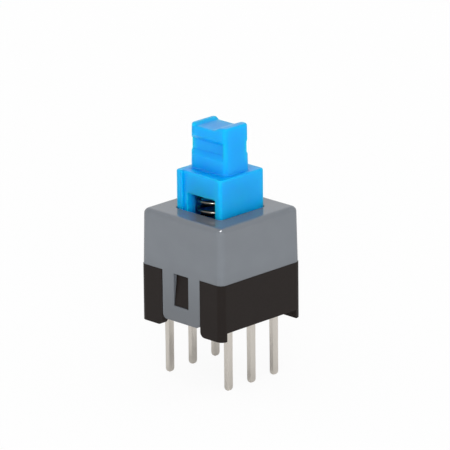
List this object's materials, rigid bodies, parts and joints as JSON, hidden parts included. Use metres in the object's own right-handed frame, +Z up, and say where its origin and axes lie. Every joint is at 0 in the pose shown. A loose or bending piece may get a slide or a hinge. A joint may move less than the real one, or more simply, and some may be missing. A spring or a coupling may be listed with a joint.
{
  "type": "pushbutton switch",
  "caption": "Small square latching push switch for a circuit board, with a plunger over a coil spring, a cover that clips over the base, and solder pins in two rows.",
  "frame": {"origin": "middle of the pin field, on the plane of the board's top face that the feet stand on", "axes": "+Z up along the push axis, away from the board; +X towards one row of pins; -Y out of the front, where the shoulder has its spring window"},
  "size_m": [0.007, 0.007, 0.0162],
  "materials": {
    "base_plastic": "moulded black, fine satin",
    "cover_plastic": "moulded mid grey, glossy",
    "plunger_plastic": "moulded sky blue acetal, slightly translucent",
    "spring_steel": "drawn spring wire, dark and bright",
    "contact_bronze": "silver-plated bronze strip",
    "tinned_brass": "dull tin plating"
  },
  "bodies": {
    "housing": {"base": "base_plastic", "cover": "cover_plastic", "return_spring": "spring_steel", "terminal_break_left": "tinned_brass", "terminal_common_left": "tinned_brass", "terminal_make_left": "tinned_brass", "terminal_break_right": "tinned_brass", "terminal_common_right": "tinned_brass", "terminal_make_right": "tinned_brass"},
    "plunger": {"plunger": "plunger_plastic", "bridging_contact_left": "contact_bronze", "bridging_contact_right": "contact_bronze"},
    "latch_pin": {"latch_pin": "spring_steel"}
  },
  "joints": [
    {"name": "plunger_slide", "type": "slide", "parent": "housing", "child": "plunger", "axis": [0, 0, -1], "range_m": [0, 0.0022], "stiffness_N_per_m": 600, "deforming": ["return_spring"]},
    {"name": "latch_pin_swing", "type": "hinge", "parent": "housing", "child": "latch_pin", "pos_m": [0, 0.00222, 0.0019], "axis": [0, 1, 0], "range_deg": [-14.5, 14.5]}
  ],
  "couplings": [
    {"joint": "latch_pin_swing", "follows": "plunger_slide", "rad_per_m": 113.45}
  ]
}
